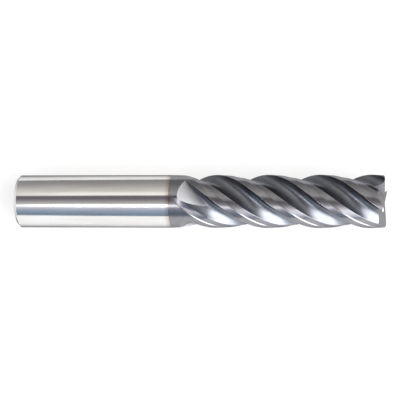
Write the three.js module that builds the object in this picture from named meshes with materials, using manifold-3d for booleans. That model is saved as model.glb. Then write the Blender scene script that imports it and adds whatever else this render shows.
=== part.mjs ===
// A solid carbide end mill: four teeth on a right-hand helix, right-hand cut, small corner radius, plain shank.
// The tool is ground from one sintered rod. Each zone that a toolmaker names is a mesh of its own, and neighbouring
// zones stand a hair apart on flat or helical joint faces. Millimetres, +Z up. The tool lies along +X: the origin is
// the centre of the shank's end face, and the teeth are at the +X end. Angles turn about +X, from -Y towards -Z.
import * as THREE from "three";
import { ConvexGeometry } from "three/addons/geometries/ConvexGeometry.js";
import { mergeVertices } from "three/addons/utils/BufferGeometryUtils.js";
import Module from "manifold-3d";

// Driving dimensions.
const DIAMETER = 10; // shank and cutting diameter
const LENGTH = 70; // over all
const COATING_START = 29.7; // the bright shank ends here and the coated neck begins
const FLUTE_START = 37; // the flutes are full depth from here to the tip
const TEETH = 4;
const HELIX_DEG = 39;
const SHANK_CHAMFER = 0.5;
const CORNER_RADIUS = 0.4;
const TIP_DEG = 47; // where the first tooth's cutting edge stands at the tip
const JOINT_GAP = 0.02; // between neighbouring zones

// Transverse section of a tooth. Radii are shares of the cutting radius. Angles are measured from the cutting edge,
// and angles behind it are negative.
const SPLIT_SHARE = 0.66; // radius where a tooth stands on the core
const PRIMARY = { angle: -17.5, share: 0.98 }; // back edge of the primary relief
const STEP = { angle: -19.5, share: 0.95 }; // foot of the small step behind it
const HEEL = { angle: -35.5, share: 0.9 }; // back edge of the secondary relief
const RAKE_DEG = 8;
const RAKE_ARC_SHARE = 0.4; // radius of the hooked rake face

// Run-out of the flutes and of the reliefs into the neck. The wheel that grinds a flute leaves the rod on an arc.
const WHEEL = { exit: 31.4, ahead: 53, flatness: 2 }; // ahead of the cutting edge's line, in degrees
const SECONDARY_RUN_OUT = { start: 30.2, slopeDeg: 7.5 };
const PRIMARY_RUN_OUT = { start: 34.0, slopeDeg: 3 };

// End teeth.
const DISH_DEG = 2;
const END_PRIMARY_DEG = 8;
const END_SECONDARY_DEG = 24;
const END_PRIMARY_WIDTH = 0.9;
const GASH = { fromAxis: 0.5, depth: 0.35, floorDeg: 38, openingDeg: 50 };

const ROUND_SIDES = 72;
const AXIAL_STEP = 1.3; // length of a facet along the flutes
const NECK_STEP = 1.0; // and in the run-out
const TROUGH_STEP = 0.7;
const ARC_STEPS = 5;
const SLIVER = 0.003; // edges shorter than this are collapsed after a cut
const CORNER_STEPS = 3;

const rad = THREE.MathUtils.degToRad;
const RADIUS = DIAMETER / 2;
const PITCH_DEG = 360 / TEETH;
const LEAD = (Math.PI * DIAMETER) / Math.tan(rad(HELIX_DEG));
const OUTSIDE = RADIUS * 1.35; // cutters reach this far from the axis
const TROUGH_TOP = RADIUS * 1.8;
const TROUGH_HALF_ANGLE = 75;
const FLAT = RADIUS * 20; // a circle centred this far away is as good as flat
const TIP_STOCK = 1; // the teeth are swept this far past the tip before the end is ground
const CUTTER_HEIGHT = 3; // and the end cutters reach this far past it
const PAST_TIP = LENGTH + TIP_STOCK;
const TOOTH_ANGLES = Array.from({ length: TEETH }, (_, i) => i * PITCH_DEG);

const wasm = await Module();
wasm.setup();

const BRIGHT = { color: 0xb9b8b4, roughness: 0.2, metalness: 1 };
const COATED = { color: 0x626168, roughness: 0.35, metalness: 1 };
const FLUTED = { color: 0x6c7076, roughness: 0.25, metalness: 1 };

function toSolid(geometry) {
  const bare = new THREE.BufferGeometry();
  bare.setAttribute("position", geometry.getAttribute("position"));
  bare.setIndex(geometry.getIndex());
  const merged = mergeVertices(bare, 1e-5);
  return new wasm.Manifold(
    new wasm.Mesh({
      numProp: 3,
      vertProperties: Float32Array.from(merged.getAttribute("position").array),
      triVerts: Uint32Array.from(merged.getIndex().array),
    }),
  );
}

function toMesh(name, solid, finish) {
  const { vertProperties, triVerts } = solid.getMesh();
  const geometry = new THREE.BufferGeometry();
  geometry.setAttribute("position", new THREE.BufferAttribute(vertProperties, 3));
  geometry.setIndex(new THREE.BufferAttribute(triVerts, 1));
  geometry.computeVertexNormals();
  const mesh = new THREE.Mesh(geometry, new THREE.MeshStandardMaterial(finish));
  mesh.name = name;
  return mesh;
}

// What a cut leaves behind, without slivers.
function largestBody(solid) {
  const bodies = solid.simplify(SLIVER).decompose();
  return bodies.reduce((best, body) => (body.volume() > best.volume() ? body : best));
}

// A point in the tool's cross-section: across is radial along the given angle, ahead is towards the cut.
function place(x, across, ahead, angleDeg) {
  const angle = rad(angleDeg);
  return new THREE.Vector3(
    x,
    -across * Math.cos(angle) + ahead * Math.sin(angle),
    -across * Math.sin(angle) - ahead * Math.cos(angle),
  );
}

function polar(angleDeg, radius) {
  return new THREE.Vector2(radius * Math.cos(rad(angleDeg)), radius * Math.sin(rad(angleDeg)));
}

// A body of revolution about X from a profile of (x, radius) points that starts and ends on the axis.
function turned(profile) {
  const points = profile.map(([x, radius]) => new THREE.Vector2(radius, x));
  const geometry = new THREE.LatheGeometry(points, ROUND_SIDES);
  geometry.rotateZ(-Math.PI / 2);
  return toSolid(geometry);
}

function rod(start, end, radius) {
  return turned([[start, 0], [start, radius], [end, radius], [end, 0]]);
}

function helixAngle(x) {
  return TIP_DEG + ((x - LENGTH) * 360) / LEAD;
}

// A solid through one closed outline per station. Outlines are lists of 2-D points in the section's own frame.
function sweep(stations, outlineAt, angleAt) {
  const outlines = stations.map(outlineAt);
  const count = outlines[0].length;
  const positions = [];
  stations.forEach((x, i) => {
    outlines[i].forEach((point) => positions.push(...place(x, point.x, point.y, angleAt(x)).toArray()));
  });
  const index = [];
  for (let i = 0; i + 1 < stations.length; i += 1) {
    for (let j = 0; j < count; j += 1) {
      const k = (j + 1) % count;
      const a = i * count + j;
      const b = i * count + k;
      index.push(a, b, b + count, a, b + count, a + count);
    }
  }
  const last = (stations.length - 1) * count;
  THREE.ShapeUtils.triangulateShape(outlines[0], []).forEach(([a, b, c]) => index.push(a, c, b));
  THREE.ShapeUtils.triangulateShape(outlines.at(-1), []).forEach(([a, b, c]) => {
    index.push(last + a, last + b, last + c);
  });
  const geometry = new THREE.BufferGeometry();
  geometry.setAttribute("position", new THREE.Float32BufferAttribute(positions, 3));
  geometry.setIndex(index);
  return toSolid(geometry);
}

function stations(start, end, step) {
  const count = Math.ceil((end - start) / step);
  return Array.from({ length: count + 1 }, (_, i) => start + ((end - start) * i) / count);
}

// The flute in front of a cutting edge at angle zero: first the hooked rake face, from the edge down to the floor.
function rakeCurve() {
  const edge = new THREE.Vector2(RADIUS, 0);
  const inward = new THREE.Vector2(-Math.cos(rad(RAKE_DEG)), -Math.sin(rad(RAKE_DEG)));
  const arcRadius = RADIUS * RAKE_ARC_SHARE;
  const centre = new THREE.Vector2(inward.y, -inward.x).multiplyScalar(arcRadius).add(edge);
  const start = edge.clone().sub(centre).angle();
  const end = centre.clone().negate().angle();
  return Array.from({ length: ARC_STEPS + 1 }, (_, i) => {
    const angle = start + ((end - start) * i) / ARC_STEPS;
    return new THREE.Vector2(Math.cos(angle), Math.sin(angle)).multiplyScalar(arcRadius).add(centre);
  });
}

// The rest of the flute, from the floor up the back of the tooth ahead to its heel.
function backCurve() {
  const floor = rakeCurve().at(-1);
  const heel = polar(PITCH_DEG + HEEL.angle, RADIUS * HEEL.share);
  const along = new THREE.Vector2(-floor.y, floor.x).normalize();
  const control = floor.clone().addScaledVector(along, floor.distanceTo(heel) * 0.45);
  return new THREE.QuadraticBezierCurve(floor, control, heel).getPoints(ARC_STEPS);
}

// The stretch of an outline whose ends lie on a circle about the axis, either outside it or inside it.
function trimToCircle(points, radius, keepOutside) {
  const kept = [];
  points.forEach((point, i) => {
    const before = points[i - 1];
    if (before && before.length() > radius !== point.length() > radius) {
      const share = (radius - before.length()) / (point.length() - before.length());
      kept.push(before.clone().lerp(point, share).setLength(radius));
    }
    if (point.length() > radius === keepOutside) {
      kept.push(point);
    }
  });
  return kept;
}

function turnPoints(points, angleDeg) {
  const origin = new THREE.Vector2();
  return points.map((point) => point.clone().rotateAround(origin, rad(angleDeg)));
}

// Points on a circle between two others that lie on it, without its ends.
function arcBetween(from, to, radius) {
  const start = from.angle();
  const turn = THREE.MathUtils.euclideanModulo(to.angle() - start + Math.PI, 2 * Math.PI) - Math.PI;
  return Array.from({ length: ARC_STEPS - 1 }, (_, i) => {
    const angle = start + (turn * (i + 1)) / ARC_STEPS;
    return new THREE.Vector2(radius * Math.cos(angle), radius * Math.sin(angle));
  });
}

// A tooth with its cutting edge at angle zero: rake face, reliefs, back, and the root that stands on the core.
function toothOutline() {
  const root = RADIUS * SPLIT_SHARE + JOINT_GAP;
  const rake = trimToCircle(rakeCurve(), root, true).reverse();
  const back = trimToCircle(turnPoints(backCurve(), -PITCH_DEG), root, true).reverse();
  const reliefs = [PRIMARY, STEP].map(({ angle, share }) => polar(angle, RADIUS * share));
  return [...rake, ...reliefs, ...back, ...arcBetween(back.at(-1), rake[0], root)].reverse();
}

function coreOutline() {
  const root = RADIUS * SPLIT_SHARE;
  const floor = trimToCircle([...rakeCurve(), ...backCurve().slice(1)], root, false);
  const next = turnPoints(floor, PITCH_DEG);
  const quarter = [...floor, ...arcBetween(floor.at(-1), next[0], root)];
  return Array.from({ length: TEETH }, (_, i) => turnPoints(quarter, i * PITCH_DEG)).flat();
}

// Everything above a shallow trough. Its lowest point is at the given radius, straight along the section's own angle,
// and its bottom is part of a circle that is centred so far behind the tool's axis.
function troughOutline(radius, centreOffset) {
  const bottom = [];
  for (let angle = -TROUGH_HALF_ANGLE; angle <= TROUGH_HALF_ANGLE; angle += TROUGH_HALF_ANGLE / 5) {
    const along = centreOffset * Math.cos(rad(angle));
    const reach = Math.sqrt(along ** 2 + (radius + centreOffset) ** 2 - centreOffset ** 2) - along;
    bottom.push(polar(angle, Math.min(reach, TROUGH_TOP - 0.5)));
  }
  const top = [TROUGH_HALF_ANGLE, 0, -TROUGH_HALF_ANGLE].map((angle) => polar(angle, TROUGH_TOP * 1.5));
  return [...top.reverse(), ...bottom.reverse()];
}

// The cutter for one flute where it runs out: the flute's own section, above the trough that the wheel leaves.
function runOutCutter(toothDeg) {
  const curve = [...rakeCurve(), ...backCurve().slice(1)];
  const above = new THREE.Vector2(OUTSIDE, (OUTSIDE - RADIUS) * Math.tan(rad(RAKE_DEG)));
  const outline = [...curve, polar(PITCH_DEG + HEEL.angle, OUTSIDE), above].reverse();
  const along = stations(WHEEL.exit - 0.5, FLUTE_START + 1, NECK_STEP);
  const flute = sweep(along, () => outline, (x) => helixAngle(x) + toothDeg);
  const floor = rakeCurve().at(-1).length() - 0.02;
  const troughAt = (x) => {
    const left = Math.max(0, FLUTE_START - x);
    const rise = (RADIUS - floor) * (left / (FLUTE_START - WHEEL.exit)) ** 2;
    return troughOutline(floor + rise, WHEEL.flatness * left);
  };
  const exitAngle = helixAngle(WHEEL.exit) + toothDeg + WHEEL.ahead;
  return flute.intersect(sweep(stations(along[0], FLUTE_START + 2, TROUGH_STEP), troughAt, () => exitAngle));
}

// The cutter for one relief where it starts in the neck: it comes in gently along its deepest line.
function reliefCutter(toothDeg, runOut, marks, deepest) {
  const inner = marks.map(({ angle, share }) => polar(angle, RADIUS * share));
  const outer = [marks.at(-1).angle, (marks.at(-1).angle + marks[0].angle) / 2, marks[0].angle];
  const outline = [...inner, ...outer.map((angle) => polar(angle, OUTSIDE))];
  const along = stations(runOut.start, FLUTE_START + 1, NECK_STEP);
  const relief = sweep(along, () => outline, (x) => helixAngle(x) + toothDeg);
  const troughAt = (x) => troughOutline(RADIUS - (x - runOut.start) * Math.tan(rad(runOut.slopeDeg)), FLAT);
  return relief.intersect(sweep(along, troughAt, (x) => helixAngle(x) + toothDeg + deepest.angle));
}

// A convex cutter from corners given as (depth below the tip, across, ahead) of a tooth's end cutting edge.
function convexCutter(corners, toothDeg) {
  const points = corners.map(([depth, across, ahead]) => place(LENGTH - depth, across, ahead, TIP_DEG + toothDeg));
  return toSolid(new ConvexGeometry(points));
}

function endReliefCutters(toothDeg) {
  const dish = (across) => Math.tan(rad(DISH_DEG)) * (RADIUS - across);
  const primary = (across, behind) => dish(across) + Math.tan(rad(END_PRIMARY_DEG)) * behind;
  const secondary = (across, behind) =>
    primary(across, END_PRIMARY_WIDTH) + Math.tan(rad(END_SECONDARY_DEG)) * (behind - END_PRIMARY_WIDTH);
  const reach = RADIUS * 1.5;
  return [primary, secondary].map((depthAt) => {
    const nearest = depthAt === primary ? -SLIVER * 5 : END_PRIMARY_WIDTH;
    const plan = [[0, nearest], [reach, nearest], [reach, reach], [0, reach]];
    const corners = plan.flatMap(([across, behind]) => [
      [-CUTTER_HEIGHT, across, -behind],
      [depthAt(across, behind), across, -behind],
    ]);
    return convexCutter(corners, toothDeg);
  });
}

function gashCutter(toothDeg) {
  const opening = Math.tan(rad(GASH.openingDeg));
  const corners = [GASH.fromAxis, RADIUS * 1.5].flatMap((across) => {
    const floor = GASH.depth + (across - GASH.fromAxis) * Math.tan(rad(GASH.floorDeg));
    const width = (floor + CUTTER_HEIGHT) * opening;
    return [[floor, across, 0], [-CUTTER_HEIGHT, across, 0], [-CUTTER_HEIGHT, across, width]];
  });
  return convexCutter(corners, toothDeg);
}

// A ring that rounds the outer corner of every tooth at the tip.
function cornerCutter() {
  const start = LENGTH - CORNER_RADIUS;
  const profile = [[start, OUTSIDE], [start, RADIUS]];
  for (let i = 1; i <= CORNER_STEPS; i += 1) {
    const angle = rad((90 * i) / CORNER_STEPS);
    const inset = CORNER_RADIUS * (1 - Math.cos(angle));
    profile.push([start + CORNER_RADIUS * Math.sin(angle), RADIUS - inset]);
  }
  const top = LENGTH + CUTTER_HEIGHT;
  profile.push([top, RADIUS - CORNER_RADIUS], [top, OUTSIDE], [start, OUTSIDE]);
  return turned(profile.reverse());
}

function tipCutter() {
  const perTooth = TOOTH_ANGLES.flatMap((toothDeg) => [...endReliefCutters(toothDeg), gashCutter(toothDeg)]);
  const facing = rod(LENGTH, LENGTH + CUTTER_HEIGHT, OUTSIDE * 1.2);
  return wasm.Manifold.union([cornerCutter(), facing, ...perTooth]);
}

function neckCutter() {
  const stepFoot = { angle: STEP.angle, share: PRIMARY.share };
  const behindHeel = { angle: HEEL.angle - 6, share: HEEL.share - 0.02 };
  const perTooth = TOOTH_ANGLES.flatMap((toothDeg) => [
    runOutCutter(toothDeg),
    reliefCutter(toothDeg, PRIMARY_RUN_OUT, [{ angle: 0, share: 1 }, PRIMARY, stepFoot], PRIMARY),
    reliefCutter(toothDeg, SECONDARY_RUN_OUT, [PRIMARY, STEP, HEEL, behindHeel], STEP),
  ]);
  return wasm.Manifold.union(perTooth);
}

function shank() {
  const profile = [
    [0, 0],
    [0, RADIUS - SHANK_CHAMFER],
    [SHANK_CHAMFER, RADIUS],
    [COATING_START - JOINT_GAP, RADIUS],
    [COATING_START - JOINT_GAP, 0],
  ];
  return toMesh("shank", turned(profile), BRIGHT);
}

function neck() {
  const blank = rod(COATING_START, FLUTE_START, RADIUS);
  return toMesh("neck", largestBody(blank.subtract(neckCutter())), COATED);
}

function core(tip) {
  const body = sweep(stations(FLUTE_START + JOINT_GAP, PAST_TIP, AXIAL_STEP), coreOutline, helixAngle);
  return toMesh("core", largestBody(body.subtract(tip)), FLUTED);
}

function tooth(toothDeg, number, tip) {
  const angleAt = (x) => helixAngle(x) + toothDeg;
  const body = sweep(stations(FLUTE_START + JOINT_GAP, PAST_TIP, AXIAL_STEP), toothOutline, angleAt);
  return toMesh(`tooth_${number}`, largestBody(body.subtract(tip)), COATED);
}

function endMill() {
  const tip = tipCutter();
  const group = new THREE.Group();
  group.name = "end_mill";
  group.add(shank(), neck(), core(tip), ...TOOTH_ANGLES.map((angle, i) => tooth(angle, i + 1, tip)));
  return group;
}

export default endMill();
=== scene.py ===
"""Looks of the end mill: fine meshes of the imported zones, ground and coated carbide, floor, sky, camera."""
import math

import bmesh
import bpy
import numpy as np
from mathutils import Matrix, Vector


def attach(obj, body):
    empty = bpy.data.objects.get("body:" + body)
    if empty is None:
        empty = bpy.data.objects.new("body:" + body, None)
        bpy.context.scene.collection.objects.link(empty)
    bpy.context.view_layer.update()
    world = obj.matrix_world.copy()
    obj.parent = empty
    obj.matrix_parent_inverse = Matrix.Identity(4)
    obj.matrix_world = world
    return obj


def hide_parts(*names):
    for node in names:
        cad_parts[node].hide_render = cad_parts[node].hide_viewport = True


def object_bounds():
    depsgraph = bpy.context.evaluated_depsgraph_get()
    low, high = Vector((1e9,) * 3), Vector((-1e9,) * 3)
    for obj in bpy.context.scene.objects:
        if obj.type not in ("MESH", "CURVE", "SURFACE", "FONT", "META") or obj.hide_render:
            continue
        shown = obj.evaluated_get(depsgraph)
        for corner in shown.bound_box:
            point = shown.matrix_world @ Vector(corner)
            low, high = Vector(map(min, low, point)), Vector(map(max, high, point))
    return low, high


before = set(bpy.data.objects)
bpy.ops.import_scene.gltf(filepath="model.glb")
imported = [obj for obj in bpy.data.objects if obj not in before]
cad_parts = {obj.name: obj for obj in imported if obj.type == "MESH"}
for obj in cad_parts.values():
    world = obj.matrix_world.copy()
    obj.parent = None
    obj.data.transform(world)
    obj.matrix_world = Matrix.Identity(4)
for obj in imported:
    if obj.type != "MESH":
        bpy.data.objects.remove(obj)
cad_low, cad_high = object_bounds()

# Sizes in millimetres, as in the CAD model. The tool lies along +X from its shank's end face at x = 0. Angles
# are in degrees about +X, from -Y towards -Z.
MM = 0.001
RADIUS = 5.0  # of the shank and of the cutting edges
LENGTH = 70.0
COATING_START = 29.7  # the bright shank ends here and the coated neck begins
FLUTE_START = 37.0  # the flutes are full depth from here to the tip
TEETH = 4
PITCH = 360 / TEETH
HELIX = 39.0
LEAD = 2 * math.pi * RADIUS / math.tan(math.radians(HELIX))
TIP_ANGLE = 47.0  # where the first tooth's cutting edge stands at the tip
SHANK_CHAMFER = 0.5
CORNER_RADIUS = 0.4
SEAM = 0.002  # between neighbouring zones
EDGE_LAND = 0.035  # width of the small bevels on the ground edges

# Cross-section of a tooth. Marks are (angle, share of the radius). Their angles are measured from the cutting
# edge, and are negative behind it.
SPLIT_SHARE = 0.66  # radius where a tooth stands on the core
CUTTING_EDGE = (0.0, 1.0)
PRIMARY = (-17.5, 0.98)  # back edge of the primary relief
STEP = (-19.5, 0.95)  # foot of the small step behind it
HEEL = (-35.5, 0.90)  # back edge of the secondary relief
RAKE = 8.0
RAKE_ARC_SHARE = 0.4  # radius of the hooked rake face
BACK_FULLNESS = 0.45  # how far the flute's floor heads straight on, as a share of the way to the heel

# Run-out of the flutes and reliefs into the neck. The wheel that grinds a flute leaves the rod on an arc.
WHEEL_EXIT = 31.4
WHEEL_AHEAD = 53.0  # degrees ahead of the cutting edge's line
WHEEL_FLATNESS = 2.0  # how far the arc's centre moves away, per millimetre from the full depth
TROUGH_CLEARANCE = 0.02  # the trough meets the flute's floor this far below it
SECONDARY_START, SECONDARY_SLOPE = 30.2, 7.5  # millimetres and degrees
PRIMARY_START, PRIMARY_SLOPE = 34.0, 3.0
STEP_FOOT = (STEP[0], PRIMARY[1])  # the primary relief's cutter ends here
BEHIND_HEEL = (HEEL[0] - 6, HEEL[1] - 0.02)  # and the secondary relief's here

# End teeth.
DISH = 2.0  # degrees
END_PRIMARY = 8.0  # degrees
END_SECONDARY = 24.0  # degrees
END_PRIMARY_WIDTH = 0.9
GASH_FROM_AXIS = 0.5
GASH_DEPTH = 0.35
GASH_FLOOR = 38.0  # degrees
GASH_OPENING = 50.0  # degrees

# How far the cutters reach past what they cut.
OUTSIDE = RADIUS * 1.35
FACING_RADIUS = OUTSIDE * 1.2
END_REACH = RADIUS * 1.5
TROUGH_RIM = RADIUS * 1.7  # a trough's bottom reaches out no further
TROUGH_TOP = RADIUS * 2.7
TROUGH_HALF_ANGLE = 75.0
FLAT = RADIUS * 20  # a circle centred this far away is as good as flat
BEFORE_EXIT = 0.5
PAST_NECK = 1.0
PAST_TIP = 1.0  # the teeth are swept this far past the tip before the end is ground
CUTTER_HEIGHT = 3.0  # and the end cutters reach this far past it
CORNER_CLEARANCE = 0.01
HAIR = 0.015  # the end relief's cutters reach this far past the tooth's edge and past the axis

# (x, radius) offsets of the points that round the inner and outer edge of the shank's chamfer.
CHAMFER_INNER = [(0.0, -0.03), (0.01, -0.01), (0.03, 0.02)]
CHAMFER_OUTER = [(-0.04, -0.04), (-0.01, -0.015), (0.03, 0.0)]

# Fineness of the meshes.
AXIAL_STEP = 0.25  # length of a facet along the flutes
NECK_STEP = 0.1  # and in the run-out
ROUND_SIDES = 288
CURVE_STEPS = 18
RELIEF_STEPS = 8
CUTTER_STEPS = 6
TROUGH_STEPS = 60
CORNER_STEPS = 8
SHARP_ANGLE = 25.0  # edges that turn by more than this aren't shaded smooth

# Material slots of every fluted piece.
LAND, FLUTE, STEP_WALL, FACET, NECK, RUN_OUT = range(6)

# Noise cells per metre along each axis.
HELICAL_STREAKS = (900, 14000, 14000)
WHEEL_STREAKS = (3000, 9000, 9000)
RING_STREAKS = (14000, 120, 120)
SHANK_RINGS = (16000, 60, 60)
STAINS = (90, 700, 700)
CLOUDS = (350, 500, 500)
PAPER = (300, 300, 300)
NOISE_RANGE = (0.3, 0.7)  # where nearly all of a noise's values lie

# Brown fringe of the shank where the coating starts.
FRINGE_START = 28.8
FRINGE_STRENGTH = 0.75
FRINGE_BROWN = (0.50, 0.38, 0.30)

# Edges where the coating is worn through, brightened to bare carbide as wear and as a painted highlight.
BARE_CARBIDE_HIGHLIGHT = (0.85, 0.85, 0.86)
WEAR_HIGHLIGHT_RADIUS = 0.05
WEAR_HIGHLIGHT_COSINES = (0.99, 0.88)  # from a flat surface to a fully worn, brightest painted-highlight edge
WORN_AND_LIT_OUTSIDE = (0.76, 0.80)  # shares of the radius between which wear and the painted highlight set in
SEAM_GUARD = 0.1  # no wear or painted highlight this near to a seam
SEAM_GUARD_FADE = 0.02

# Stretch where the run-out of the wheel, matt and pale with a painted reflection, turns into the flute's own
# look.
MATT_AND_SHEEN_END, FLUTE_LOOK_START = 32.5, 36.8


def tan(degrees):
    return math.tan(math.radians(degrees))


def polar(angle, radius):
    return np.array([radius * math.cos(math.radians(angle)), radius * math.sin(math.radians(angle))])


def turn(points, angle):
    c, s = math.cos(math.radians(angle)), math.sin(math.radians(angle))
    return points @ np.array([[c, s], [-s, c]])


def place(x, across, ahead, angle):
    """A point of the cross-section at x: across is radial along angle, ahead is towards the cut."""
    c, s = math.cos(math.radians(angle)), math.sin(math.radians(angle))
    return (x, -across * c + ahead * s, -across * s - ahead * c)


def helix_angle(x):
    return TIP_ANGLE + (x - LENGTH) * 360 / LEAD


# ---------------------------------------------------------------- nodes


def feed(tree, value, socket):
    """Links an output to the socket, or sets a plain value on it."""
    if isinstance(value, bpy.types.NodeSocket):
        tree.links.new(value, socket)
    else:
        socket.default_value = value


def calculate(tree, operation, *values):
    """A math node on outputs or plain numbers."""
    node = tree.nodes.new("ShaderNodeMath")
    node.operation = operation
    for value, socket in zip(values, node.inputs):
        feed(tree, value, socket)
    return node.outputs[0]


def vector_math(tree, operation, *values):
    """A vector math node's outputs, on outputs or plain vectors."""
    node = tree.nodes.new("ShaderNodeVectorMath")
    node.operation = operation
    for value, socket in zip(values, node.inputs):
        feed(tree, value, socket)
    return node.outputs


def components(tree, vector):
    node = tree.nodes.new("ShaderNodeSeparateXYZ")
    tree.links.new(vector, node.inputs["Vector"])
    return node.outputs


def object_coordinates(tree):
    return tree.nodes.new("ShaderNodeTexCoord").outputs["Object"]


def helical_coordinates(tree):
    """The object's coordinates with the tool's helix untwisted, so that streaks follow the flutes."""
    point = object_coordinates(tree)
    rotate = tree.nodes.new("ShaderNodeVectorRotate")
    rotate.rotation_type = "X_AXIS"
    twist = calculate(tree, "MULTIPLY", components(tree, point)["X"], -2 * math.pi / (LEAD * MM))
    tree.links.new(point, rotate.inputs["Vector"])
    tree.links.new(twist, rotate.inputs["Angle"])
    return rotate.outputs["Vector"]


def along_and_out(tree, point):
    """(distance along the tool, distance from its axis)."""
    parts = components(tree, point)
    squares = [calculate(tree, "POWER", parts[axis], 2.0) for axis in ("Y", "Z")]
    return parts["X"], calculate(tree, "SQRT", calculate(tree, "ADD", *squares))


def grain(tree, point, scale, detail):
    """Noise over a point, stretched by a scale per axis."""
    mapping = tree.nodes.new("ShaderNodeMapping")
    mapping.inputs["Scale"].default_value = scale
    noise = tree.nodes.new("ShaderNodeTexNoise")
    noise.inputs["Scale"].default_value = 1.0
    noise.inputs["Detail"].default_value = detail
    noise.inputs["Roughness"].default_value = 0.6
    tree.links.new(point, mapping.inputs["Vector"])
    tree.links.new(mapping.outputs["Vector"], noise.inputs["Vector"])
    return noise.outputs["Fac"]


def ramp(tree, value, stops):
    """A colour by value, from (position, colour) stops."""
    node = tree.nodes.new("ShaderNodeValToRGB")
    while len(node.color_ramp.elements) < len(stops):
        node.color_ramp.elements.new(0.5)
    for element, (position, colour) in zip(node.color_ramp.elements, stops):
        element.position = position
        element.color = (*colour, 1.0)
    tree.links.new(value, node.inputs["Fac"])
    return node.outputs["Color"]


def tinted(tree, noise, colours):
    """A colour between two that follows a noise."""
    return ramp(tree, noise, list(zip(NOISE_RANGE, colours)))


def remap(tree, value, source, target):
    node = tree.nodes.new("ShaderNodeMapRange")
    node.inputs["From Min"].default_value, node.inputs["From Max"].default_value = source
    node.inputs["To Min"].default_value, node.inputs["To Max"].default_value = target
    tree.links.new(value, node.inputs["Value"])
    return node.outputs["Result"]


def band(tree, value, centre, half_width, soft):
    """1 within half_width of the centre, fading to 0 over the soft distance."""
    distance = calculate(tree, "ABSOLUTE", calculate(tree, "SUBTRACT", value, centre))
    return remap(tree, distance, (half_width, half_width + soft), (1.0, 0.0))


def mix(tree, share, first, second):
    """Blends a colour output into a plain colour."""
    node = tree.nodes.new("ShaderNodeMix")
    node.data_type = "RGBA"
    tree.links.new(share, node.inputs["Factor"])
    tree.links.new(first, node.inputs["A"])
    node.inputs["B"].default_value = (*second, 1.0)
    return node.outputs["Result"]


def bump(tree, shader, value, height_um):
    node = tree.nodes.new("ShaderNodeBump")
    node.inputs["Strength"].default_value = 1.0
    node.inputs["Distance"].default_value = height_um * 1e-6
    tree.links.new(value, node.inputs["Height"])
    tree.links.new(node.outputs["Normal"], shader.inputs["Normal"])


# ---------------------------------------------------------------- materials


def material(name, metallic, specular_tint):
    """A new material, its node tree and its shader."""
    mat = bpy.data.materials.new(name)
    mat.use_nodes = True
    shader = mat.node_tree.nodes["Principled BSDF"]
    shader.inputs["Metallic"].default_value = metallic
    shader.inputs["Specular Tint"].default_value = (specular_tint, specular_tint, specular_tint, 1.0)
    return mat, mat.node_tree, shader


def sharpness(tree):
    """0 on a smooth surface, rising to 1 on a sharp edge."""
    bevel = tree.nodes.new("ShaderNodeBevel")
    bevel.samples = 6
    bevel.inputs["Radius"].default_value = WEAR_HIGHLIGHT_RADIUS * MM
    geometry = tree.nodes.new("ShaderNodeNewGeometry")
    cosine = vector_math(tree, "DOT_PRODUCT", bevel.outputs["Normal"], geometry.outputs["Normal"])["Value"]
    return remap(tree, cosine, WEAR_HIGHLIGHT_COSINES, (0.0, 1.0))


def edge_wear_and_highlight(tree, point):
    """Mask of the sharp edges on the outside of the tool, for worn coating and a painted highlight. The seams
    between its zones don't count.
    """
    along, radius = along_and_out(tree, point)
    outside = remap(tree, radius, [share * RADIUS * MM for share in WORN_AND_LIT_OUTSIDE], (0.0, 1.0))
    at_seams = [
        band(tree, along, seam * MM, SEAM_GUARD * MM, SEAM_GUARD_FADE * MM)
        for seam in (FLUTE_START, COATING_START)
    ]
    clear = calculate(tree, "SUBTRACT", 1.0, calculate(tree, "MAXIMUM", *at_seams))
    return calculate(tree, "MULTIPLY", sharpness(tree), calculate(tree, "MULTIPLY", outside, clear))


def ground_carbide():
    """Bright shank: fine grinding rings, faint stains, and a brown fringe where the coating starts."""
    mat, tree, shader = material("ground_carbide", metallic=1.0, specular_tint=0.2)
    point = object_coordinates(tree)
    rings = grain(tree, point, SHANK_RINGS, detail=3.0)
    stains = grain(tree, point, STAINS, detail=4.0)
    clean = tinted(tree, stains, [(0.72, 0.71, 0.69), (0.82, 0.82, 0.82)])
    along = components(tree, point)["X"]
    fringe = remap(tree, along, (FRINGE_START * MM, COATING_START * MM), (0.0, FRINGE_STRENGTH))
    tree.links.new(mix(tree, fringe, clean, FRINGE_BROWN), shader.inputs["Base Color"])
    tree.links.new(remap(tree, rings, NOISE_RANGE, (0.09, 0.16)), shader.inputs["Roughness"])
    bump(tree, shader, rings, height_um=0.3)
    return mat


def coated(name, coordinates, streaks, colours, roughness, height_um, wear_and_highlight):
    """The dark hard coating, over the streaks that grinding left, thin to bare on the edges, which are
    brightened as wear and as a painted highlight.
    """
    mat, tree, shader = material(name, metallic=1.0, specular_tint=0.5)
    point = object_coordinates(tree)
    lines = grain(tree, coordinates(tree), streaks, detail=3.0)
    tint = tinted(tree, grain(tree, point, CLOUDS, detail=5.0), colours)
    worn_and_lit = calculate(tree, "MULTIPLY", edge_wear_and_highlight(tree, point), wear_and_highlight)
    # Sharp edges are mixed towards bright bare carbide: worn coating and a painted highlight.
    tree.links.new(mix(tree, worn_and_lit, tint, BARE_CARBIDE_HIGHLIGHT), shader.inputs["Base Color"])
    tree.links.new(remap(tree, lines, NOISE_RANGE, roughness), shader.inputs["Roughness"])
    bump(tree, shader, lines, height_um)
    return mat


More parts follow.
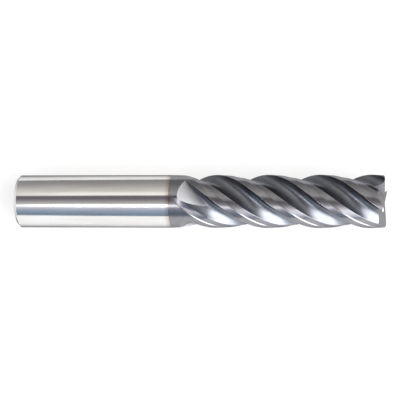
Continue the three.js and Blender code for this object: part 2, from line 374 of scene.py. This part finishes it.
def run_out():
    """The floor of a flute where the wheel left: more matt, and paler as a painted reflection, turning into
    the flute's own look; sharp edges get worn coating and a painted highlight.
    """
    mat, tree, shader = material("wheel_run_out", metallic=1.0, specular_tint=0.6)
    point = object_coordinates(tree)
    lines = grain(tree, helical_coordinates(tree), HELICAL_STREAKS, detail=3.0)
    clouds = grain(tree, point, CLOUDS, detail=5.0)
    # The pale tone near the wheel's exit is a painted reflection of the bright light.
    pale = tinted(tree, clouds, [(0.27, 0.27, 0.28), (0.33, 0.33, 0.34)])
    along = components(tree, point)["X"]
    inside = remap(tree, along, (MATT_AND_SHEEN_END * MM, FLUTE_LOOK_START * MM), (0.0, 1.0))
    tint = mix(tree, inside, pale, (0.20, 0.21, 0.235))
    # Sharp edges are mixed towards bright bare carbide: worn coating and a painted highlight.
    tree.links.new(mix(tree, edge_wear_and_highlight(tree, point), tint, BARE_CARBIDE_HIGHLIGHT), shader.inputs["Base Color"])
    tree.links.new(remap(tree, inside, (0.0, 1.0), (0.50, 0.30)), shader.inputs["Roughness"])
    bump(tree, shader, lines, height_um=0.3)
    return mat


BRIGHT_STEEL = ground_carbide()
FLUTED_MATERIALS = [
    coated(
        "coated_land",
        helical_coordinates,
        HELICAL_STREAKS,
        colours=[(0.26, 0.255, 0.275), (0.33, 0.325, 0.345)],
        roughness=(0.22, 0.27),
        height_um=0.8,
        wear_and_highlight=0.1,
    ),
    coated(
        "coated_flute",
        helical_coordinates,
        HELICAL_STREAKS,
        colours=[(0.16, 0.17, 0.19), (0.23, 0.24, 0.27)],
        roughness=(0.26, 0.33),
        height_um=0.5,
        wear_and_highlight=0.25,
    ),
    coated(
        "step_wall",
        helical_coordinates,
        HELICAL_STREAKS,
        colours=[(0.25, 0.25, 0.26), (0.31, 0.31, 0.32)],
        roughness=(0.20, 0.26),
        height_um=0.3,
        wear_and_highlight=0.0,
    ),
    coated(
        "wheel_facet",
        object_coordinates,
        WHEEL_STREAKS,
        colours=[(0.24, 0.24, 0.25), (0.30, 0.30, 0.31)],
        roughness=(0.34, 0.44),
        height_um=0.4,
        wear_and_highlight=1.0,
    ),
    coated(
        "coated_neck",
        object_coordinates,
        RING_STREAKS,
        colours=[(0.25, 0.25, 0.265), (0.31, 0.31, 0.325)],
        roughness=(0.20, 0.24),
        height_um=0.3,
        wear_and_highlight=1.0,
    ),
    run_out(),
]

# ---------------------------------------------------------------- meshes


def link(name, mesh, materials):
    for mat in materials:
        mesh.materials.append(mat)
    obj = bpy.data.objects.new(name, mesh)
    bpy.context.scene.collection.objects.link(obj)
    return obj


def new_object(name, vertices, faces, kinds):
    """kinds is the material index of each face, or one for all."""
    mesh = bpy.data.meshes.new(name)
    mesh.from_pydata([tuple(c * MM for c in v) for v in vertices], [], faces)
    mesh.polygons.foreach_set("material_index", np.broadcast_to(kinds, len(faces)).astype(np.int32))
    return link(name, mesh, FLUTED_MATERIALS)


def turned(name, profile, kind=LAND):
    """A body of revolution about X from (x, radius) points that run from axis to axis, or round a ring."""
    is_ring = min(radius for _, radius in profile) > 0
    circles = profile if is_ring else profile[1:-1]
    angles = np.arange(ROUND_SIDES) * 2 * math.pi / ROUND_SIDES
    vertices = [(x, radius * math.cos(a), radius * math.sin(a)) for x, radius in circles for a in angles]
    last = len(circles) - 1
    pairs = [(i, i + 1) for i in range(last)] + ([(last, 0)] if is_ring else [])
    faces = []
    for i, k in pairs:
        for j in range(ROUND_SIDES):
            n = (j + 1) % ROUND_SIDES
            faces.append([i * ROUND_SIDES + n, k * ROUND_SIDES + n, k * ROUND_SIDES + j, i * ROUND_SIDES + j])
    if not is_ring:
        faces.append(list(reversed(range(ROUND_SIDES))))
        faces.append(list(range(last * ROUND_SIDES, (last + 1) * ROUND_SIDES)))
    return new_object(name, vertices, faces, kind)


def sweep(name, along, outline_at, angle_at, kinds):
    """A solid through one counter-clockwise outline per x along the tool.

    kinds holds one material index per side of the outline, or is one for all.
    """
    vertices = []
    for x in along:
        outline, angle = outline_at(x), angle_at(x)
        vertices += [place(x, across, ahead, angle) for across, ahead in outline]
    count = len(outline)
    last = len(vertices) - count
    faces = []
    for first in range(0, last, count):
        for j in range(count):
            a, b = first + j, first + (j + 1) % count
            faces.append((a, b, b + count, a + count))
    faces.append(tuple(reversed(range(count))))
    faces.append(tuple(range(last, last + count)))
    side_kinds = np.tile(np.broadcast_to(kinds, count), len(along) - 1)
    return new_object(name, vertices, faces, [*side_kinds, FACET, FACET])


def along_helix(offset):
    """A function of x: the angle of a line along the helix, offset degrees from the first cutting edge."""
    return lambda x: helix_angle(x) + offset


def stations(start, end, step):
    """Places from start to end, evenly spaced by no more than the step."""
    count = math.ceil((end - start) / step)
    return [start + (end - start) * i / count for i in range(count + 1)]


def hull(name, corners, angle):
    """A convex cutter from (depth below the tip, across, ahead) corners of one end tooth."""
    mesh = bpy.data.meshes.new(name)
    shape = bmesh.new()
    for depth, across, ahead in corners:
        shape.verts.new([c * MM for c in place(LENGTH - depth, across, ahead, TIP_ANGLE + angle)])
    bmesh.ops.convex_hull(shape, input=shape.verts)
    bmesh.ops.recalc_face_normals(shape, faces=shape.faces)
    for face in shape.faces:
        face.material_index = FACET
    shape.to_mesh(mesh)
    shape.free()
    return link(name, mesh, FLUTED_MATERIALS)


def combine(obj, others, operation):
    """Applies a boolean with each of the others in turn, leaving them in place."""
    for other in others:
        modifier = obj.modifiers.new("combine", "BOOLEAN")
        modifier.object = other
        modifier.operation = operation
        modifier.solver = "MANIFOLD"
        graph = bpy.context.evaluated_depsgraph_get()
        before, after = obj.data, bpy.data.meshes.new_from_object(obj.evaluated_get(graph))
        obj.modifiers.remove(modifier)
        obj.data = after
        bpy.data.meshes.remove(before)
        after.name = obj.name
    return obj


def discard(objects):
    for obj in objects:
        mesh = obj.data
        bpy.data.objects.remove(obj)
        bpy.data.meshes.remove(mesh)


# ---------------------------------------------------------------- cross-section


def rake_curve():
    """The hooked rake face, from the cutting edge in to the flute's floor."""
    edge = np.array([RADIUS, 0.0])
    inward = -polar(RAKE, 1.0)
    arc_radius = RADIUS * RAKE_ARC_SHARE
    centre = edge + arc_radius * np.array([inward[1], -inward[0]])
    start = math.atan2(*(edge - centre)[::-1]) % (2 * math.pi)
    end = math.atan2(*(-centre)[::-1]) % (2 * math.pi)
    angles = np.linspace(start, end, CURVE_STEPS + 1)
    return centre + arc_radius * np.stack([np.cos(angles), np.sin(angles)], axis=1)


def back_curve():
    """The flute's back, from its floor out to the next tooth's heel."""
    floor = rake_curve()[-1]
    heel = polar(PITCH + HEEL[0], RADIUS * HEEL[1])
    along = np.array([-floor[1], floor[0]]) / np.linalg.norm(floor)
    control = floor + along * np.linalg.norm(heel - floor) * BACK_FULLNESS
    t = np.linspace(0, 1, CURVE_STEPS + 1)[:, None]
    return floor * (1 - t) ** 2 + control * 2 * t * (1 - t) + heel * t**2


def trim(points, radius, outside):
    """The stretch of an outline outside or inside a circle about the axis, ending on the circle."""
    kept = []
    for i, point in enumerate(points):
        size = np.linalg.norm(point)
        if i:
            before = np.linalg.norm(points[i - 1])
            if (before > radius) != (size > radius):
                share = (radius - before) / (size - before)
                crossing = points[i - 1] + (point - points[i - 1]) * share
                kept.append(crossing * radius / np.linalg.norm(crossing))
        if (size > radius) == outside:
            kept.append(point)
    return np.array(kept)


def arc_between(first, last, radius):
    """Points of the shorter arc about the axis from one direction to another, without its ends."""
    start = math.atan2(first[1], first[0])
    sweep_angle = (math.atan2(last[1], last[0]) - start + math.pi) % (2 * math.pi) - math.pi
    angles = start + sweep_angle * np.arange(1, CURVE_STEPS) / CURVE_STEPS
    return radius * np.stack([np.cos(angles), np.sin(angles)], axis=1)


def spiral(first, last, steps):
    """Points of a relief from one mark to another, without its ends."""
    points = []
    for t in np.arange(1, steps) / steps:
        angle = first[0] + (last[0] - first[0]) * t
        points.append(polar(angle, RADIUS * (first[1] + (last[1] - first[1]) * t)))
    return points


def at_mark(mark):
    return polar(mark[0], RADIUS * mark[1])


def bevelled(points, kinds, corners, width):
    """Rounds the listed corners of a closed outline with three points each.

    Each kind belongs to the side that follows its point.
    """
    rounded, rounded_kinds = [], []
    for i, (point, kind) in enumerate(zip(points, kinds)):
        if i not in corners:
            rounded.append(point)
            rounded_kinds.append(kind)
            continue
        back = points[i - 1] - point
        ahead = points[(i + 1) % len(points)] - point
        a = point + back / np.linalg.norm(back) * width
        b = point + ahead / np.linalg.norm(ahead) * width
        rounded += [a, 0.25 * a + 0.5 * point + 0.25 * b, b]
        rounded_kinds += [kind] * 3
    return np.array(rounded), rounded_kinds


def reverse_outline(points, kinds):
    """The same outline the other way round, with each kind still on its own side."""
    return points[::-1], [*kinds[:-1][::-1], kinds[-1]]


def tooth_outline():
    """The section of a tooth above its root, and the kind of each side."""
    root = RADIUS * SPLIT_SHARE + SEAM
    rake = trim(rake_curve(), root, True)[::-1]
    back = trim(turn(back_curve(), -PITCH), root, True)[::-1]
    primary = spiral(CUTTING_EDGE, PRIMARY, RELIEF_STEPS)
    secondary = spiral(STEP, HEEL, RELIEF_STEPS)
    step = [at_mark(PRIMARY), at_mark(STEP)]
    arc = arc_between(back[-1], rake[0], root)
    points = np.array([*rake, *primary, *step, *secondary, *back, *arc])
    kinds = [FLUTE] * (len(rake) - 1) + [LAND] * (len(primary) + 1) + [STEP_WALL]
    kinds += [LAND] * (len(secondary) + 1) + [FLUTE] * (len(back) + len(arc))
    edge = len(rake) - 1
    primary_end = len(rake) + len(primary)
    heel = primary_end + 2 + len(secondary)
    return reverse_outline(*bevelled(points, kinds, {edge, primary_end, heel}, EDGE_LAND))


def core_outline():
    """The section of the core, with the floors of all flutes."""
    root = RADIUS * SPLIT_SHARE
    floor = trim(np.array([*rake_curve(), *back_curve()[1:]]), root, False)
    following = turn(floor, PITCH)
    quarter = np.array([*floor, *arc_between(floor[-1], following[0], root)])
    return np.concatenate([turn(quarter, i * PITCH) for i in range(TEETH)])


# ---------------------------------------------------------------- cutters


def trough_outline(radius, centre_offset):
    """Everything above a shallow trough, whose bottom is an arc centred behind the tool's axis."""
    bottom = []
    for angle in np.linspace(-TROUGH_HALF_ANGLE, TROUGH_HALF_ANGLE, TROUGH_STEPS + 1):
        along = centre_offset * math.cos(math.radians(angle))
        reach = math.sqrt(along**2 + (radius + centre_offset) ** 2 - centre_offset**2) - along
        bottom.append(polar(angle, min(reach, TROUGH_RIM)))
    top = [polar(angle, TROUGH_TOP) for angle in (-TROUGH_HALF_ANGLE, 0, TROUGH_HALF_ANGLE)]
    return np.array(top + bottom[::-1])


def within_trough(cutter, start, trough_at, angle_at, kind):
    """Keeps only what the cutter has above a trough, whose bottom gets the given kind."""
    along = stations(start, FLUTE_START + 2 * PAST_NECK, NECK_STEP)
    trough = sweep("trough", along, trough_at, angle_at, kind)
    combine(cutter, [trough], "INTERSECT")
    discard([trough])
    return cutter


def run_out_cutter(angle):
    """The flute's own section, above the trough that the grinding wheel leaves."""
    above = np.array([OUTSIDE, (OUTSIDE - RADIUS) * tan(RAKE)])
    points = np.array([*rake_curve(), *back_curve()[1:], polar(PITCH + HEEL[0], OUTSIDE), above])
    kinds = [FLUTE] * CURVE_STEPS + [RUN_OUT] * (CURVE_STEPS + 1) + [FLUTE] * 2
    outline, kinds = reverse_outline(points, kinds)
    start = WHEEL_EXIT - BEFORE_EXIT
    along = stations(start, FLUTE_START + PAST_NECK, NECK_STEP)
    flute = sweep("flute_cutter", along, lambda x: outline, along_helix(angle), kinds)
    floor = np.linalg.norm(rake_curve()[-1]) - TROUGH_CLEARANCE

    def trough_at(x):
        left = max(0.0, FLUTE_START - x)
        rise = (RADIUS - floor) * (left / (FLUTE_START - WHEEL_EXIT)) ** 2
        return trough_outline(floor + rise, WHEEL_FLATNESS * left)

    exit_angle = helix_angle(WHEEL_EXIT) + angle + WHEEL_AHEAD
    return within_trough(flute, start, trough_at, lambda x: exit_angle, RUN_OUT)


def relief_cutter(angle, start, slope, marks, deepest, step_kind):
    """One relief through its marks, which comes in gently along its deepest line."""
    inner, kinds = [], []
    for i, (first, last) in enumerate(zip(marks, marks[1:])):
        inner += [at_mark(first), *spiral(first, last, CUTTER_STEPS)]
        kinds += [step_kind if i == 0 else LAND] * CUTTER_STEPS
    inner.append(at_mark(marks[-1]))
    middle = (marks[-1][0] + marks[0][0]) / 2
    outer = [polar(a, OUTSIDE) for a in (marks[-1][0], middle, marks[0][0])]
    outline = np.array(inner + outer)
    kinds += [LAND] * 4
    along = stations(start, FLUTE_START + PAST_NECK, NECK_STEP)
    relief = sweep("relief_cutter", along, lambda x: outline, along_helix(angle), kinds)

    def trough_at(x):
        return trough_outline(RADIUS - (x - start) * tan(slope), FLAT)

    return within_trough(relief, start, trough_at, along_helix(angle + deepest[0]), LAND)


def end_relief_cutters(angle):
    """The two reliefs behind one end tooth's edge, which is dished towards the axis."""

    def primary(across, behind):
        return tan(DISH) * (RADIUS - across) + tan(END_PRIMARY) * behind

    def secondary(across, behind):
        return primary(across, END_PRIMARY_WIDTH) + tan(END_SECONDARY) * (behind - END_PRIMARY_WIDTH)

    cutters = []
    for depth_at, nearest in ((primary, -HAIR), (secondary, END_PRIMARY_WIDTH)):
        corners = []
        places = ((-HAIR, nearest), (END_REACH, nearest), (END_REACH, END_REACH), (-HAIR, END_REACH))
        for across, behind in places:
            corners += [(-CUTTER_HEIGHT, across, -behind), (depth_at(across, behind), across, -behind)]
        cutters.append(hull("end_relief_cutter", corners, angle))
    return cutters


def gash_cutter(angle):
    """The notch ahead of one end tooth's edge, deeper towards the outside."""
    corners = []
    for across in (GASH_FROM_AXIS, END_REACH):
        floor = GASH_DEPTH + (across - GASH_FROM_AXIS) * tan(GASH_FLOOR)
        width = (floor + CUTTER_HEIGHT) * tan(GASH_OPENING)
        corners += [(floor, across, 0), (-CUTTER_HEIGHT, across, 0), (-CUTTER_HEIGHT, across, width)]
    return hull("gash_cutter", corners, angle)


def corner_cutter():
    """A ring that rounds the teeth's outer corners."""
    start = LENGTH - CORNER_RADIUS
    top = LENGTH + CUTTER_HEIGHT
    profile = [(start, OUTSIDE), (start, RADIUS + CORNER_CLEARANCE)]
    for a in np.linspace(0, math.pi / 2, CORNER_STEPS + 1):
        profile.append((start + CORNER_RADIUS * math.sin(a), RADIUS - CORNER_RADIUS * (1 - math.cos(a))))
    profile += [(top, RADIUS - CORNER_RADIUS), (top, OUTSIDE)]
    return turned("corner_cutter", profile[::-1])


def tip_cutters():
    top = LENGTH + CUTTER_HEIGHT
    facing = [(LENGTH, 0), (LENGTH, FACING_RADIUS), (top, FACING_RADIUS), (top, 0)]
    cutters = [corner_cutter(), turned("facing_cutter", facing)]
    for i in range(TEETH):
        cutters += [*end_relief_cutters(i * PITCH), gash_cutter(i * PITCH)]
    return cutters


def neck_cutters():
    primary = [CUTTING_EDGE, PRIMARY, STEP_FOOT]
    secondary = [PRIMARY, STEP, HEEL, BEHIND_HEEL]
    cutters = []
    for i in range(TEETH):
        angle = i * PITCH
        cutters += [
            run_out_cutter(angle),
            relief_cutter(angle, PRIMARY_START, PRIMARY_SLOPE, primary, PRIMARY, LAND),
            relief_cutter(angle, SECONDARY_START, SECONDARY_SLOPE, secondary, STEP, STEP_WALL),
        ]
    return cutters


# ---------------------------------------------------------------- pieces


def finish_piece(obj, node):
    obj.data.shade_smooth()
    obj.data.set_sharp_from_angle(angle=math.radians(SHARP_ANGLE))
    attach(obj, "root")
    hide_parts(node)


def make_shank():
    end = COATING_START - SEAM
    inner = [(x, RADIUS - SHANK_CHAMFER + rise) for x, rise in CHAMFER_INNER]
    outer = [(SHANK_CHAMFER + x, RADIUS + rise) for x, rise in CHAMFER_OUTER]
    obj = turned("shank_ground", [(0, 0), *inner, *outer, (end, RADIUS), (end, 0)])
    obj.data.materials.clear()
    obj.data.materials.append(BRIGHT_STEEL)
    finish_piece(obj, "shank")


def make_neck():
    blank = [(COATING_START, 0), (COATING_START, RADIUS), (FLUTE_START, RADIUS), (FLUTE_START, 0)]
    cutters = neck_cutters()
    obj = combine(turned("neck_coated", blank, NECK), cutters, "DIFFERENCE")
    discard(cutters)
    finish_piece(obj, "neck")


def make_cutting_end():
    along = stations(FLUTE_START + SEAM, LENGTH + PAST_TIP, AXIAL_STEP)
    tip = tip_cutters()
    floors = core_outline()
    core = sweep("core_flutes", along, lambda x: floors, along_helix(0), FLUTE)
    finish_piece(combine(core, tip, "DIFFERENCE"), "core")
    outline, kinds = tooth_outline()
    for i in range(TEETH):
        tooth = sweep(f"tooth_{i + 1}_ground", along, lambda x: outline, along_helix(i * PITCH), kinds)
        finish_piece(combine(tooth, tip, "DIFFERENCE"), f"tooth_{i + 1}")
    discard(tip)


make_shank()
make_neck()
make_cutting_end()

# ---------------------------------------------------------------- stage

TILT = 9.0  # degrees by which the tip is nearer to the camera
ROUND = 68.0  # degrees of the camera's height round the tool's axis
DISTANCE = 359.0
LENS = 171.0
SENSOR = 36.0
IMAGE_SHIFT = (0.0, 0.0035)

FLOOR_HALF = 1.5  # metres
FLOOR_DROP = 0.02  # millimetres below the tool
FLOOR_GLOW = 0.6

# (degrees up from the front horizon, colour)
SKY_BANDS = [
    (0, (0.22, 0.30, 0.40)),
    (12, (0.25, 0.33, 0.43)),
    (27, (0.39, 0.46, 0.57)),
    (37, (0.62, 0.64, 0.76)),
    (43, (0.80, 0.80, 0.92)),
    (54, (0.68, 0.66, 0.66)),
    (59, (0.54, 0.53, 0.53)),
    (64, (0.45, 0.44, 0.44)),
    (69, (0.36, 0.35, 0.35)),
    (76, (0.23, 0.21, 0.23)),
    (82, (0.16, 0.14, 0.17)),
    (92, (0.16, 0.14, 0.17)),
    (96, (0.78, 0.76, 0.72)),
    (110, (0.80, 0.78, 0.74)),
    (120, (0.70, 0.68, 0.64)),
    (130, (0.59, 0.57, 0.54)),
    (140, (0.48, 0.46, 0.44)),
    (150, (0.39, 0.38, 0.37)),
    (165, (0.33, 0.32, 0.32)),
    (180, (0.32, 0.32, 0.33)),
]
SKY_STRIPS = [
    (0, (0.0, 0.0, 0.0)),
    (44, (0.0, 0.0, 0.0)),
    (46, (1.0, 1.0, 1.0)),
    (51, (1.0, 1.0, 1.0)),
    (54, (0.0, 0.0, 0.0)),
    (93, (0.0, 0.0, 0.0)),
    (97, (0.09, 0.09, 0.085)),
    (104, (0.08, 0.08, 0.075)),
    (112, (0.0, 0.0, 0.0)),
]
STRIP_POWER = 4.5
STRIP_REACH = (-0.25, 0.2, 0.14)  # centre, half width and fade of the strips along X
SOFTBOX_DIRECTION = (0.788, -0.522, 0.326)
SOFTBOX_EDGE = (0.71, 0.85)  # cosines of its faded rim
SOFTBOX_COLOUR = (1.0, 1.0, 1.0)
SOFTBOX_POWER = 5.5


def floor_material():
    """A light table: pale, and lit a little from below."""
    mat, tree, shader = material("floor", metallic=0.0, specular_tint=1.0)
    shader.inputs["Roughness"].default_value = 0.8
    shader.inputs["Specular IOR Level"].default_value = 0.2
    shader.inputs["Emission Color"].default_value = (1.0, 1.0, 1.0, 1.0)
    shader.inputs["Emission Strength"].default_value = FLOOR_GLOW
    paper = grain(tree, object_coordinates(tree), PAPER, detail=4.0)
    pale = tinted(tree, paper, [(0.43, 0.43, 0.43), (0.46, 0.46, 0.46)])
    tree.links.new(pale, shader.inputs["Base Color"])
    return mat


def make_floor():
    mesh = bpy.data.meshes.new("floor")
    corners = [(x * FLOOR_HALF, y * FLOOR_HALF, 0) for x, y in ((-1, -1), (1, -1), (1, 1), (-1, 1))]
    mesh.from_pydata(corners, [], [(0, 1, 2, 3)])
    floor = link("floor", mesh, [floor_material()])
    floor.location.z = cad_low.z - FLOOR_DROP * MM


def make_camera():
    """A long lens above the tool, with the tool's axis level across the image."""
    tilt, up = math.radians(TILT), math.radians(ROUND)
    back = Vector((math.sin(tilt), -math.cos(tilt) * math.cos(up), math.cos(tilt) * math.sin(up)))
    axis = Vector((1, 0, 0))
    right = (axis - back * axis.dot(back)).normalized()
    upward = back.cross(right)
    aim = Matrix((right, upward, back)).transposed().to_4x4()
    middle = Vector((LENGTH / 2 * MM, 0, 0))
    data = bpy.data.cameras.new("camera")
    data.lens = LENS
    data.sensor_width = SENSOR
    data.clip_end = 10
    data.shift_x, data.shift_y = IMAGE_SHIFT
    camera = bpy.data.objects.new("camera", data)
    camera.matrix_world = Matrix.Translation(middle + back * DISTANCE * MM) @ aim
    bpy.context.scene.collection.objects.link(camera)
    bpy.context.scene.camera = camera


def sky_ramp(tree, share, stops):
    return ramp(tree, share, [(degrees / 180, colour) for degrees, colour in stops])


def make_world():
    """A studio sky: bands and strips by the angle round X from the front, and a softbox past the tip."""
    world = bpy.data.worlds.new("studio")
    bpy.context.scene.world = world
    world.use_nodes = True
    tree = world.node_tree
    direction = tree.nodes.new("ShaderNodeTexCoord").outputs["Generated"]
    parts = components(tree, direction)
    front = calculate(tree, "MULTIPLY", parts["Y"], -1.0)
    share = calculate(tree, "DIVIDE", calculate(tree, "ARCTAN2", parts["Z"], front), math.pi)
    bands = sky_ramp(tree, share, SKY_BANDS)
    strips = sky_ramp(tree, share, SKY_STRIPS)
    strip_power = calculate(tree, "MULTIPLY", band(tree, parts["X"], *STRIP_REACH), STRIP_POWER)
    towards = vector_math(tree, "DOT_PRODUCT", direction, SOFTBOX_DIRECTION)["Value"]
    softbox = remap(tree, towards, SOFTBOX_EDGE, (0.0, 1.0))
    softbox_power = calculate(tree, "MULTIPLY", softbox, SOFTBOX_POWER)
    sky = vector_math(tree, "MULTIPLY_ADD", strips, strip_power, bands)["Vector"]
    sky = vector_math(tree, "MULTIPLY_ADD", SOFTBOX_COLOUR, softbox_power, sky)["Vector"]
    tree.links.new(sky, tree.nodes["Background"].inputs["Color"])


make_floor()
make_camera()
make_world()
bpy.context.scene.view_settings.view_transform = "Standard"
